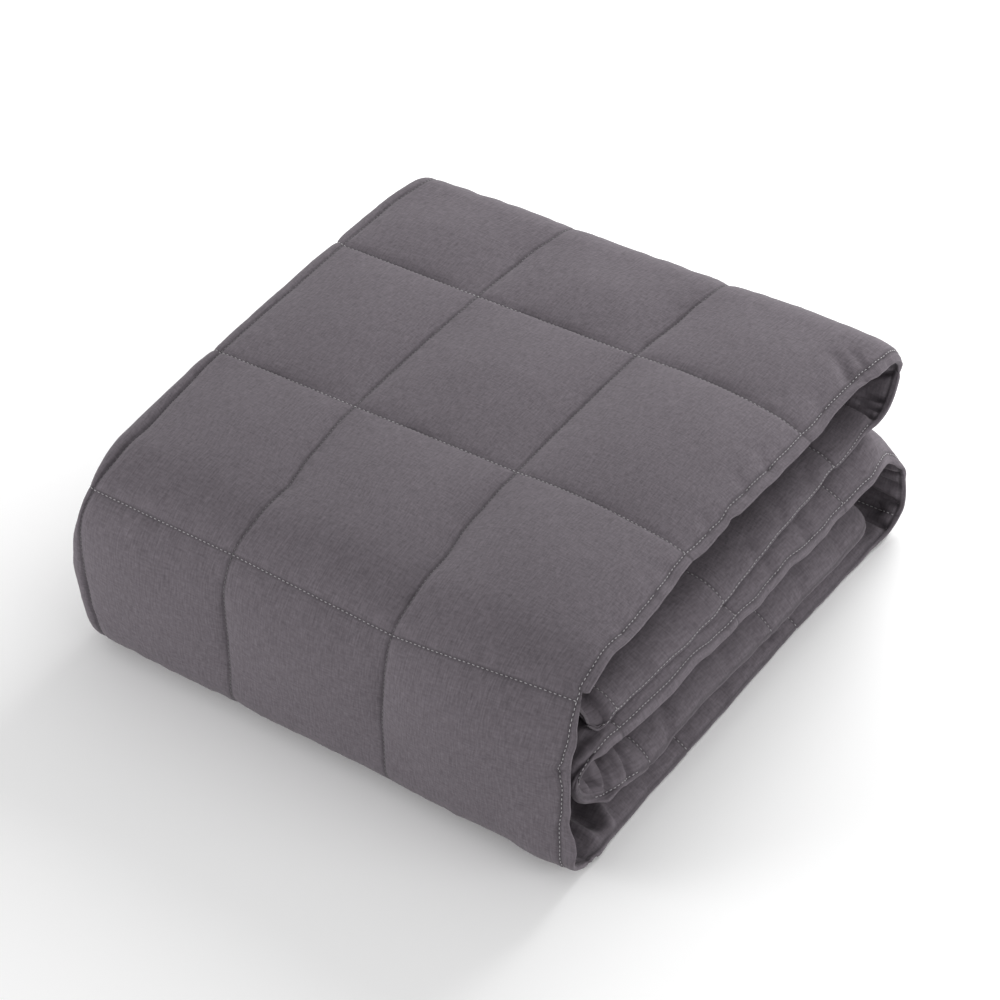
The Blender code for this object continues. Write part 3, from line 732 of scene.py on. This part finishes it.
# ---------- the fine shape
def gathers(seam, distance, position, sizes):
    """Small gathers that each seam makes at right angles to itself."""
    height, wave, reach, first_seed, seed_step = sizes
    seed = first_seed + seam * seed_step
    fade = np.exp(-distance / reach) * (1.0 - np.exp(-distance / GATHER_START))
    waves = wander(position / wave, seed) + 0.5 * wander(position / wave * 2.1, seed + 5)
    return height * (fade * waves)


def relief(along, across, side):
    """What the fill and the sewing add to the face's height, in metres."""
    _, row_seam, from_row = quilt_at(along, ROW_MARKS)
    _, column_seam, from_column = quilt_at(across, COLUMN_ACROSS)
    gathered = (gathers(row_seam, from_row, across, ROW_GATHERS)
                + gathers(column_seam, from_column, along, COLUMN_GATHERS))
    uneven = sum(height * drift(along / length, across / length, seed)
                 for height, length, seed in DRIFTS)
    uneven = uneven * ease(np.minimum(from_row, from_column), 0.0, DRIFT_FADE)
    open_third = 1.0 - ease(across, OUTER_WIDTH, LEFT_FOLD_END)
    return (gathered + uneven) * np.where(side > 0.0, open_third, INNER_RELIEF * open_third)


def creased(along, across, side):
    """Height of the listed creases."""
    height = np.zeros_like(along)
    for face, row_0, across_0, row_1, across_1, width, depth in CREASES:
        begin = np.array([along_at(row_0), across_0 * MM])
        end = np.array([along_at(row_1), across_1 * MM])
        length = np.linalg.norm(end - begin)
        direction = (end - begin) / length
        share = ((along - begin[0]) * direction[0] + (across - begin[1]) * direction[1]) / length
        aside = (along - begin[0]) * direction[1] - (across - begin[1]) * direction[0]
        taper = ease(share, *CREASE_RISE) * (1.0 - ease(share, *CREASE_FALL))
        height += depth * MM * taper * np.exp(-(aside / (width * MM)) ** 2) * (side == face)
    return height * np.where(side < 0.0, ease(across, *CREASE_FADE), 1.0)


def half_thickness(along, across, side):
    """From the middle of the sheet to one of its faces."""
    row, _, from_row = quilt_at(along, ROW_MARKS)
    column, _, from_column = quilt_at(across, COLUMN_ACROSS)
    ride, edge_puff, dome = by_row(FILL_SHAPES, along)
    ride = ride * ease(across, 0.0, RIDE_FADE)
    open_third = 1.0 - ease(across, OUTER_WIDTH + FILL_FADE_START * (LEFT_FOLD_END - OUTER_WIDTH),
                            LEFT_FOLD_END)
    fill = puff(row) * puff(column)
    on_fold = 1.0 - (1.0 - LEFT_FOLD_FILL) * ease(across, COLUMN_ACROSS[3], LEFT_FOLD_END)
    open_height = ride + (edge_puff * fill + dome * crown(row) * crown(column)) * on_fold
    plain_height = INNER_PUFF * fill
    height = plain_height + (open_height - plain_height) * open_third * (side > 0.0)
    sunk = STITCH_SINK * np.exp(-(np.minimum(from_row, from_column) / STITCH_SINK_REACH) ** 2)
    half = SEAM_HALF + height - sunk

    in_hem = np.minimum(across, SHEET_WIDTH - across)
    from_rim = np.minimum(in_hem, np.minimum(along, LINE_LENGTH - along))
    half = np.where(in_hem < HEM_WIDTH, HEM_HALF - sunk, half)
    rounding = np.clip(1.0 - from_rim / HEM_ROUND, 0.0, 1.0)
    return half * np.sqrt(np.clip(1.0 - rounding * rounding, 0.0, 1.0))


def hem_waves(along):
    """Small uneven waves of the hem's rim: sideways, and out of its plane."""
    sideways, lifting = (
        sum(height * wander(along / length, seed) for height, length, seed in waves)
        for waves in (HEM_WAVES_SIDEWAYS, HEM_WAVES_LIFTING))
    return sideways - HEM_DRAWN_IN * (1.0 - puff(row_at(along))), lifting


def hem_bend(across, along):
    """Outward and upward moves of the hem's knots, run smoothly through the strip's edge,
    and how far it is brought forward."""
    shaped = by_row(HEM_SHAPES, along)
    moves = []
    for first in (0, 1):
        heights = [0.0 * along] + shaped[first:-1:2]
        slopes = [0.0 * along]
        for before, after in ((0, 2), (1, 3), (2, 4), (3, 4)):
            slopes.append((heights[after] - heights[before])
                          / (HEM_KNOTS[after] - HEM_KNOTS[before]))
        move = 0.0 * along
        for knot in range(4):
            width = HEM_KNOTS[knot + 1] - HEM_KNOTS[knot]
            share = np.clip((across - HEM_KNOTS[knot]) / width, 0.0, 1.0)
            curve = (heights[knot] * (1.0 + 2.0 * share) * (1.0 - share) ** 2
                     + slopes[knot] * width * share * (1.0 - share) ** 2
                     + heights[knot + 1] * share * share * (3.0 - 2.0 * share)
                     - slopes[knot + 1] * width * share * share * (1.0 - share))
            move = np.where(across <= HEM_KNOTS[knot], curve, move)
        moves.append(move)
    return moves[0], moves[1], shaped[-1]


def middle_point(along, across):
    """Points half way through the folded sheet, in the object's frame."""
    weights = [np.interp(across, SEAM_KNOTS, knot) for knot in np.eye(len(SEAM_KNOTS))]
    sags = by_row(SEAM_SAGS, along)
    sag = sum(weight * value for weight, value in zip(weights[:4], sags[::-1]))
    place, normal = line_at(np.clip(along + sag, 0.0, LINE_LENGTH))
    x, offset, facing = section_at(across)
    bend_out, bend_up, forward = hem_bend(across, along)
    back, up, hump, left_back = by_row(SKEW_SHAPES, along)
    end_distance = np.minimum(along, LINE_LENGTH - along)
    tip = TIP_SCALE + (1.0 - TIP_SCALE) * ease(end_distance, 0.0, TIP_LENGTH)

    on_outer = across <= OUTER_WIDTH
    rise = ease(x, LIFT_START_X, LIFT_PEAK_X) * on_outer
    near_rim = (1.0 - ease(across, 0.0, HEM_WAVE_REACH)) * on_outer
    near_rim = near_rim * (by_row(HEM_WAVE_SHARES, along)[0] / MM)
    wave_x, wave_out = hem_waves(along)
    depth = np.clip((LEFT_FOLD_X - x) / LAYER_PITCH, 0.0, None)
    under = across > LEFT_FOLD_MIDDLE
    weights[-1] = np.where(under, np.clip(1.0 - (x - LEFT_FOLD_X) / STRAY_FADE, 0.0, 1.0),
                           weights[-1])
    strays = by_row(SEAM_STRAYS, along)
    shift = sum(weight * value for weight, value in zip(weights[1:], strays[::-1]))
    shift = (shift + bend_out + LEFT_PINCH * (1.0 - puff(row_at(along))) * depth
             + wave_x * near_rim)
    last_column = np.clip((x - COLUMN_SEAMS[-1]) / (HEM_X - COLUMN_SEAMS[-1]), 0.0, 1.0)
    out = (hump * 4.0 * last_column * (1.0 - last_column) + wave_out * near_rim) * on_outer
    skewed = np.clip(x / HEM_X, 0.0, 1.0)
    tuck = by_row(RIM_TUCKS, along)[0] * (1.0 - ease(across, 0.0, TUCK_REACH))

    from_middle = offset * tip + out * facing
    return np.stack([
        x + shift - MIDDLE[0],
        place[..., 0] + from_middle * normal[..., 0] - forward * rise + back * skewed
        + left_back * (1.0 - skewed) + tuck - MIDDLE[1],
        place[..., 1] + from_middle * normal[..., 1] + bend_up + up * skewed,
    ], -1)


def sheet_point(along, across, side):
    """Points of one face of the folded sheet, in the object's frame."""
    along, across = np.broadcast_arrays(np.asarray(along, float), np.asarray(across, float))
    side = np.broadcast_to(np.asarray(side, float), along.shape)
    by_along = (middle_point(np.minimum(along + NORMAL_NUDGE, LINE_LENGTH), across)
                - middle_point(np.maximum(along - NORMAL_NUDGE, 0.0), across))
    by_across = (middle_point(along, np.minimum(across + NORMAL_NUDGE, SHEET_WIDTH))
                 - middle_point(along, np.maximum(across - NORMAL_NUDGE, 0.0)))
    normal = unit(np.cross(by_along, by_across))
    out = (half_thickness(along, across, side) + relief(along, across, side)
           + creased(along, across, side))
    point = middle_point(along, across) + (side * out)[..., None] * normal
    point[..., 2] = np.maximum(point[..., 2], 0.0)
    return point


# ---------- the mesh
def graded(begin, end, cap):
    """Places from begin to end, both included, closer together at both ends."""
    half = (end - begin) / 2.0
    steps = [0.0]
    step = FIRST_STEP
    while steps[-1] + step < half:
        steps.append(steps[-1] + step)
        step = min(step * STEP_GROWTH, cap)
    low = np.array(steps) * half / (steps[-1] + step / 2.0) if len(steps) > 1 else np.zeros(1)
    return np.concatenate([begin + low, end - low[::-1]])


def rows_for(open_step, covered_step, turn_degrees, stretches=()):
    """Places of the rows along the strip: fine where it is open, in turns and at seams."""
    rows = [0.0]
    for begin, end in zip(ROW_MARKS[:-1], ROW_MARKS[1:]):
        place, *candidates = graded(begin, end, SEAM_STEP)
        for candidate in candidates:
            cap = open_step if OPEN_BEGIN < candidate < OPEN_END else covered_step
            _, _, length, _, _, angle = PIECES[piece_at(candidate)]
            if angle > 0.0:
                cap = min(cap, length / angle * np.radians(turn_degrees))
            row = row_at(candidate)
            for low, high, step in stretches:
                if low <= row <= high:
                    cap = min(cap, step * MM)
            from_end = min(candidate - begin, end - candidate)
            near = FIRST_STEP + from_end * (1.0 - 1.0 / STEP_GROWTH)
            if candidate - place >= min(cap, near) - 1e-9 and end - candidate > LAST_STEP:
                rows.append(candidate)
                place = candidate
        rows.append(end)
    return np.array(rows)


def zipped(left, left_at, right, right_at):
    """Triangles between two columns of points that need not have the same rows."""
    faces = []
    i = 0
    j = 0
    while i + 1 < len(left) or j + 1 < len(right):
        advance_left = j + 1 >= len(right) or (
            i + 1 < len(left) and left_at[i + 1] + left_at[i] <= right_at[j + 1] + right_at[j])
        if advance_left:
            triangle = (left[i + 1], right[j], left[i])
            i += 1
        else:
            triangle = (right[j + 1], right[j], left[i])
            j += 1
        if len(set(triangle)) == 3:
            faces.append(triangle)
    return faces


def hem_columns():
    """Places across from the rim to the end of the hem zone."""
    return np.concatenate([np.array(RIM_COLUMNS) * MM, HEM_WIDTH + np.array(ZONE_COLUMNS) * MM])


def body_columns(step, turn_degrees):
    """Places across from the hem zone to the end of the left fold."""
    marks = [HEM_ZONE] + list(COLUMN_ACROSS[1:4])
    places = []
    for begin, end in zip(marks[:-1], marks[1:]):
        piece = graded(begin, end, step)
        if begin == HEM_ZONE:           # no seam lies here, so its finer places go
            piece = piece[piece - begin > ZONE_GAP * step]
            piece = piece[(piece - begin > ZONE_SETTLE)
                          | (np.diff(piece, prepend=0.0) > SHORT_STEP * step)]
        places.extend(piece if not places else piece[1:])
    after = places[-1]
    fold_step = np.radians(turn_degrees) * LAYER_PITCH
    places.extend((after + graded(0.0, LEFT_FOLD_END - after, fold_step))[1:])
    return np.array(places)


def hidden_columns():
    """Places across the two hidden thirds, from the left fold to the hidden rim."""
    marks = (LEFT_FOLD_END, INNER_FOLD_START, INNER_FOLD_END, SHEET_WIDTH - HEM_WIDTH)
    spans = [np.linspace(begin, end, HIDDEN_STEPS + 1)[1:] for begin, end in zip(marks, marks[1:])]
    return np.concatenate(spans + [SHEET_WIDTH - np.array(HIDDEN_RIM_COLUMNS) * MM])


def sheet_bands():
    """Rows, columns and side of each band, in their order round the sheet: from the rim
    that shows over the outer face to the hidden rim, and back over the inner face."""
    hem_rows = rows_for(HEM_STEP, HEM_STEP, TURN_DEGREES, FINE_STRETCHES)
    body_rows = rows_for(OPEN_STEP, COVERED_STEP, TURN_DEGREES)
    plain_rows = rows_for(COVERED_STEP, COVERED_STEP, HIDDEN_TURN_DEGREES)
    hem = hem_columns()
    hidden = hidden_columns()
    return [
        (hem_rows, hem, OUTER),
        (body_rows, body_columns(BODY_COLUMN_STEP, FOLD_DEGREES), OUTER),
        (plain_rows, hidden, OUTER),
        (plain_rows, hidden[-2::-1], INNER),
        (plain_rows, body_columns(INNER_COLUMN_STEP, INNER_FOLD_DEGREES)[::-1], INNER),
        (hem_rows, hem[:0:-1], INNER),
    ]


def end_cap(bands, grids, row):
    """Triangles that close the sheet between its two faces at its first or last row."""
    outer = []
    inner = []
    for (_, columns, side), ids in zip(bands, grids):
        (outer if side > 0.0 else inner).extend(zip(columns, ids[row].tolist()))
    inner = [outer[0]] + sorted(inner) + [outer[-1]]
    outer_at, outer_ids = zip(*outer)
    inner_at, inner_ids = zip(*inner)
    cap = zipped(outer_ids, outer_at, inner_ids, inner_at)
    return cap if row else [face[::-1] for face in cap]


def sheet_mesh(name):
    """One closed body of the whole sheet, with its cloth coordinates as a UV map."""
    bands = sheet_bands()
    points = []
    coordinates = []
    grids = []
    faces = []
    count = 0
    for rows, columns, side in bands:
        along, across = np.meshgrid(rows, columns, indexing="ij")
        points.append(sheet_point(along, across, side).reshape(-1, 3))
        coordinates.append(np.stack([across * side, along], -1).reshape(-1, 2))
        ids = count + np.arange(along.size).reshape(along.shape)
        grids.append(ids)
        count += along.size
        corners = [ids[1:, :-1], ids[1:, 1:], ids[:-1, 1:], ids[:-1, :-1]]
        faces.extend(np.stack(corners, -1).reshape(-1, 4).tolist())
    for index, (rows, _, _) in enumerate(bands):
        after = (index + 1) % len(bands)
        faces.extend(zipped(grids[index][:, -1].tolist(), rows,
                            grids[after][:, 0].tolist(), bands[after][0]))
    faces.extend(end_cap(bands, grids, 0) + end_cap(bands, grids, -1))

    mesh = bpy.data.meshes.new(name)
    mesh.from_pydata(np.concatenate(points), [], faces)
    mesh.update()
    vertex_of_loop = np.zeros(len(mesh.loops), np.int32)
    mesh.loops.foreach_get("vertex_index", vertex_of_loop)
    cloth = np.concatenate(coordinates)
    layer = mesh.uv_layers.new(name="cloth")
    layer.uv.foreach_set("vector", cloth[vertex_of_loop].astype(np.float32).ravel())
    from_row = quilt_at(cloth[:, 1], ROW_MARKS)[2]
    from_column = quilt_at(np.abs(cloth[:, 0]), COLUMN_ACROSS)[2]
    seam_distance = np.minimum(from_row, SEAM_NEARNESS * from_column)
    attribute = mesh.attributes.new("seam_distance", "FLOAT", "POINT")
    attribute.data.foreach_set("value", seam_distance.astype(np.float32))
    mesh.shade_smooth()
    return mesh


# ---------- the thread
def stitch_run(side, begin, end, along=None, across=None):
    """Start, end, middle and outward normal of each stitch from begin to end, on a run
    that keeps the given place along the strip or the given place across it."""
    def point(place, more_along=0.0, more_across=0.0):
        if across is None:
            return sheet_point(along + more_along, place + more_across, side)
        return sheet_point(place + more_along, across + more_across, side)

    fine = np.linspace(begin, end, 1 + int(abs(end - begin) / ARC_STEP))
    arc = np.cumsum(np.linalg.norm(np.diff(point(fine), axis=0), axis=1))
    arc = np.concatenate([[0.0], arc])
    count = max(int(arc[-1] / STITCH_PITCH), 1)
    places = np.interp(np.arange(count + 1) * STITCH_PITCH, arc, fine)
    starts = places[:-1]
    ends = starts + (places[1:] - starts) * (STITCH_LENGTH / STITCH_PITCH)
    middles = (starts + ends) / 2.0
    centre = point(middles)
    by_along = point(middles, more_along=STITCH_NUDGE) - centre
    by_across = point(middles, more_across=STITCH_NUDGE) - centre
    return point(starts), point(ends), centre, unit(np.cross(by_along, by_across) * side)


def thread_mesh(name, runs):
    """Every stitch as a short rounded length of thread that dips at both ends."""
    first, last, centre, normal = (np.concatenate(group) for group in zip(*runs))
    across = unit(np.cross(normal, unit(last - first)))
    angles = 2.0 * np.pi * np.arange(THREAD_SIDES) / THREAD_SIDES
    points = []
    for share, width, height in STITCH_RINGS:
        base = first + (last - first) * share + 4.0 * share * (1.0 - share) * (
            centre - (first + last) / 2.0)
        base = base + normal * height * THREAD_RADIUS
        points.extend(base + THREAD_RADIUS * width * (np.cos(a) * across + np.sin(a) * normal)
                      for a in angles)
    points.extend(tip - normal * TIP_DEPTH * THREAD_RADIUS for tip in (first, last))
    points = np.stack(points, 1)
    last_ring = THREAD_SIDES * (len(STITCH_RINGS) - 1)
    tip = THREAD_SIDES * len(STITCH_RINGS)
    faces = []
    for side in range(THREAD_SIDES):
        after = (side + 1) % THREAD_SIDES
        faces.append((tip, after, side))
        faces.append((tip + 1, last_ring + side, last_ring + after))
        for low in range(0, last_ring, THREAD_SIDES):
            high = low + THREAD_SIDES
            faces.append((low + side, low + after, high + after))
            faces.append((low + side, high + after, high + side))
    starts = np.arange(len(points))[:, None, None] * points.shape[1]
    mesh = bpy.data.meshes.new(name)
    mesh.from_pydata(points.reshape(-1, 3), [], (np.array(faces) + starts).reshape(-1, 3).tolist())
    mesh.update()
    mesh.shade_smooth()
    return mesh


def cross_seam_runs():
    """Stitches of the seams across the strip: all of the outer face, and by the hem on the
    inner one."""
    runs = []
    for index, along in enumerate(SEAM_ALONG):
        runs.append(stitch_run(OUTER, HEM_WIDTH, LEFT_FOLD_END, along=along))
        if index + 1 not in CREASED_SEAMS:
            runs.append(stitch_run(INNER, HEM_WIDTH, HEM_ZONE, along=along))
    return runs


def long_seam_runs():
    """Stitches of the seams along the strip, on the outer face."""
    return [stitch_run(OUTER, TIP_LENGTH / 2.0, LINE_LENGTH - TIP_LENGTH / 2.0, across=across)
            for across in COLUMN_ACROSS[1:4]]


def hem_runs():
    """The hem's stitches: all along its outer face, and where its inner face shows."""
    return [stitch_run(OUTER, HEM_WIDTH, LINE_LENGTH - HEM_WIDTH, across=HEM_WIDTH)] + [
        stitch_run(INNER, along_at(first), along_at(last), across=HEM_WIDTH)
        for first, last in INNER_HEM_ROWS]


# ---------- materials
class Nodes:
    """Short calls for building one material's node tree."""

    def __init__(self, name):
        self.material = bpy.data.materials.new(name)
        self.material.use_nodes = True
        self.tree = self.material.node_tree

    def put(self, socket, value):
        """Link a socket to another node's output, or set its constant."""
        if hasattr(value, "is_output"):
            self.tree.links.new(value, socket)
        elif value is not None:
            socket.default_value = value

    def node(self, kind, inputs, **settings):
        node = self.tree.nodes.new("ShaderNode" + kind)
        for name, value in settings.items():
            setattr(node, name, value)
        for key, value in inputs.items():
            self.put(node.inputs[key], value)
        return node

    def math(self, operation, first, second=0.0, third=None, clamp=False):
        return self.node("Math", {0: first, 1: second, 2: third}, operation=operation,
                         use_clamp=clamp).outputs[0]

    def noise(self, vector, scales, detail=2.0, roughness=0.5):
        """Uneven pattern with so many swings in a metre of each coordinate."""
        scaled = self.node("VectorMath", {0: vector, 1: scales}, operation="MULTIPLY")
        return self.node("TexNoise", {
            "Vector": scaled.outputs[0], "Scale": 1.0, "Detail": detail, "Roughness": roughness,
            "Distortion": 0.0}).outputs["Fac"]

    def ramp(self, value, low, high, to_low=0.0, to_high=1.0):
        return self.node("MapRange", {"Value": value, "From Min": low, "From Max": high,
                                      "To Min": to_low, "To Max": to_high}).outputs["Result"]

    def mix(self, factor, first, second):
        return self.node("Mix", {"Factor": factor, 6: first, 7: second},
                         data_type="RGBA").outputs[2]

    def bump(self, height, distance, normal=None):
        return self.node("Bump", {"Strength": 1.0, "Distance": distance, "Height": height,
                                  "Normal": normal}).outputs["Normal"]

    def surface(self, inputs):
        """The finished material, with these values on its shader's sockets."""
        for name, value in inputs.items():
            self.put(self.tree.nodes["Principled BSDF"].inputs[name], value)
        return self.material


def cloth_material():
    """Woven cotton: yarns both ways, mottling, a few slubs, and painted shade in a narrow band
    along the seams' grooves.
    """
    nodes = Nodes("grey cotton")
    cloth = nodes.node("UVMap", {}, uv_map="cloth").outputs["UV"]
    warp = nodes.noise(cloth, (1.0 / YARN_WIDTH, 1.0 / YARN_RUN, 0.0), 1.0)
    weft = nodes.noise(cloth, (1.0 / YARN_RUN, 1.0 / YARN_WIDTH, 0.0), 1.0)
    weave = nodes.math("ADD", nodes.math("MULTIPLY", warp, WARP_WEIGHT),
                       nodes.math("MULTIPLY", weft, WEFT_WEIGHT))
    mottle = nodes.noise(cloth, (MOTTLE_SCALE, MOTTLE_SCALE, 0.0), 2.0, 0.6)
    patches = nodes.noise(cloth, (PATCH_SCALE, PATCH_SCALE, 0.0))
    slub = nodes.ramp(nodes.noise(cloth, SLUB_SCALES, 1.0), *SLUB_RANGE)
    tone = weave
    for pattern, weight in ((mottle, MOTTLE_WEIGHT), (patches, PATCH_WEIGHT)):
        tone = nodes.math("MULTIPLY_ADD", pattern, weight,
                          nodes.math("SUBTRACT", tone, 0.5 * weight))
    tone = nodes.math("MULTIPLY_ADD", slub, SLUB_WEIGHT, tone, clamp=True)
    colour = nodes.mix(tone, *(tuple(share * c for c in CLOTH_TONE) + (1.0,)
                               for share in (CLOTH_DARKEST, CLOTH_LIGHTEST)))
    seam = nodes.node("Attribute", {}, attribute_name="seam_distance").outputs["Fac"]
    # Painted shade: the cloth is darkened beside every seam, where the groove's shade falls.
    colour = nodes.mix(nodes.ramp(seam, 0.0, SEAM_SHADE_WIDTH, SEAM_SHADE_SHARE, 0.0), colour, SEAM_SHADE_TONE)
    normal = nodes.bump(weave, WEAVE_RELIEF, nodes.bump(mottle, MOTTLE_RELIEF))
    return nodes.surface({
        "Base Color": colour, "Roughness": nodes.ramp(mottle, 0.2, 0.8, *CLOTH_ROUGHNESS),
        "Specular IOR Level": 0.15, "Sheen Weight": 0.07, "Sheen Roughness": 0.45,
        "Normal": normal})


def thread_material(name, low, high):
    nodes = Nodes(name)
    place = nodes.node("NewGeometry", {}).outputs["Position"]
    fibre = nodes.noise(place, (FIBRE_SCALE, FIBRE_SCALE, FIBRE_SCALE))
    colour = nodes.mix(fibre, (low, 0.96 * low, low, 1.0), (high, 0.97 * high, high, 1.0))
    return nodes.surface({"Base Color": colour, "Roughness": 0.6, "Sheen Weight": 0.2,
                          "Normal": nodes.bump(fibre, FIBRE_RELIEF)})


def floor_material():
    return Nodes("pale floor").surface({"Base Color": FLOOR_TONE, "Roughness": 0.9,
                                        "Specular IOR Level": 0.1})


# ---------- camera, floor, light
def link(name, data):
    obj = bpy.data.objects.new(name, data)
    bpy.context.scene.collection.objects.link(obj)
    return obj


def look_from(obj, azimuth, elevation, distance, target=(0.0, 0.0, 0.0)):
    """Place a camera or lamp at a distance from the target, and point it there."""
    az, el = np.radians([azimuth, elevation])
    back = Vector((np.sin(az) * np.cos(el), -np.cos(az) * np.cos(el), np.sin(el)))
    obj.location = Vector(target) + back * distance
    obj.rotation_euler = back.to_track_quat("Z", "Y").to_euler()


def add_camera():
    data = bpy.data.cameras.new("camera")
    data.lens = CAMERA_LENS
    data.sensor_width = SENSOR
    camera = link("camera", data)
    look_from(camera, CAMERA_AZIMUTH, CAMERA_ELEVATION, CAMERA_DISTANCE, CAMERA_TARGET)
    bpy.context.scene.camera = camera


def add_floor():
    corners = [(FLOOR_HALF * x, FLOOR_HALF * y, 0.0)
               for x, y in ((-1, -1), (1, -1), (1, 1), (-1, 1))]
    mesh = bpy.data.meshes.new("floor")
    mesh.from_pydata(corners, [], [(0, 1, 2, 3)])
    mesh.materials.append(floor_material())
    floor = link("floor", mesh)
    floor.location.z = -FLOOR_DROP


def add_light():
    world = bpy.data.worlds.new("studio")
    world.use_nodes = True
    background = world.node_tree.nodes["Background"]
    background.inputs["Color"].default_value = (1.0, 1.0, 1.0, 1.0)
    background.inputs["Strength"].default_value = WORLD_STRENGTH
    bpy.context.scene.world = world
    for name, azimuth, elevation, distance, size, power in LAMPS:
        data = bpy.data.lights.new(name, "AREA")
        data.shape = "DISK"
        data.size = size
        data.energy = power
        look_from(link(name, data), azimuth, elevation, distance)
    bpy.context.scene.view_settings.view_transform = "Standard"


# ---------- main
def add_piece(name, mesh, material):
    mesh.materials.append(material)
    piece = link(name, mesh)
    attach(piece, "root")
    return piece


def main():
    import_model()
    add_camera()
    thread = thread_material("light grey thread", *THREAD_TONES)
    # Painted shade: the long seams get a darker copy of the one thread colour, for the shade in
    # their grooves.
    shaded_thread = thread_material("grey thread", *SHADED_THREAD_TONES)
    cloth = add_piece("blanket_cloth", sheet_mesh("blanket_cloth"), cloth_material())
    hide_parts("blanket")
    stitches = [add_piece(name, thread_mesh(name, runs), material) for name, runs, material in (
        ("cross_seam_stitches", cross_seam_runs(), thread),
        ("long_seam_stitches", long_seam_runs(), shaded_thread),
        ("hem_stitches", hem_runs(), thread),
    )]
    add_floor()
    add_light()


main()
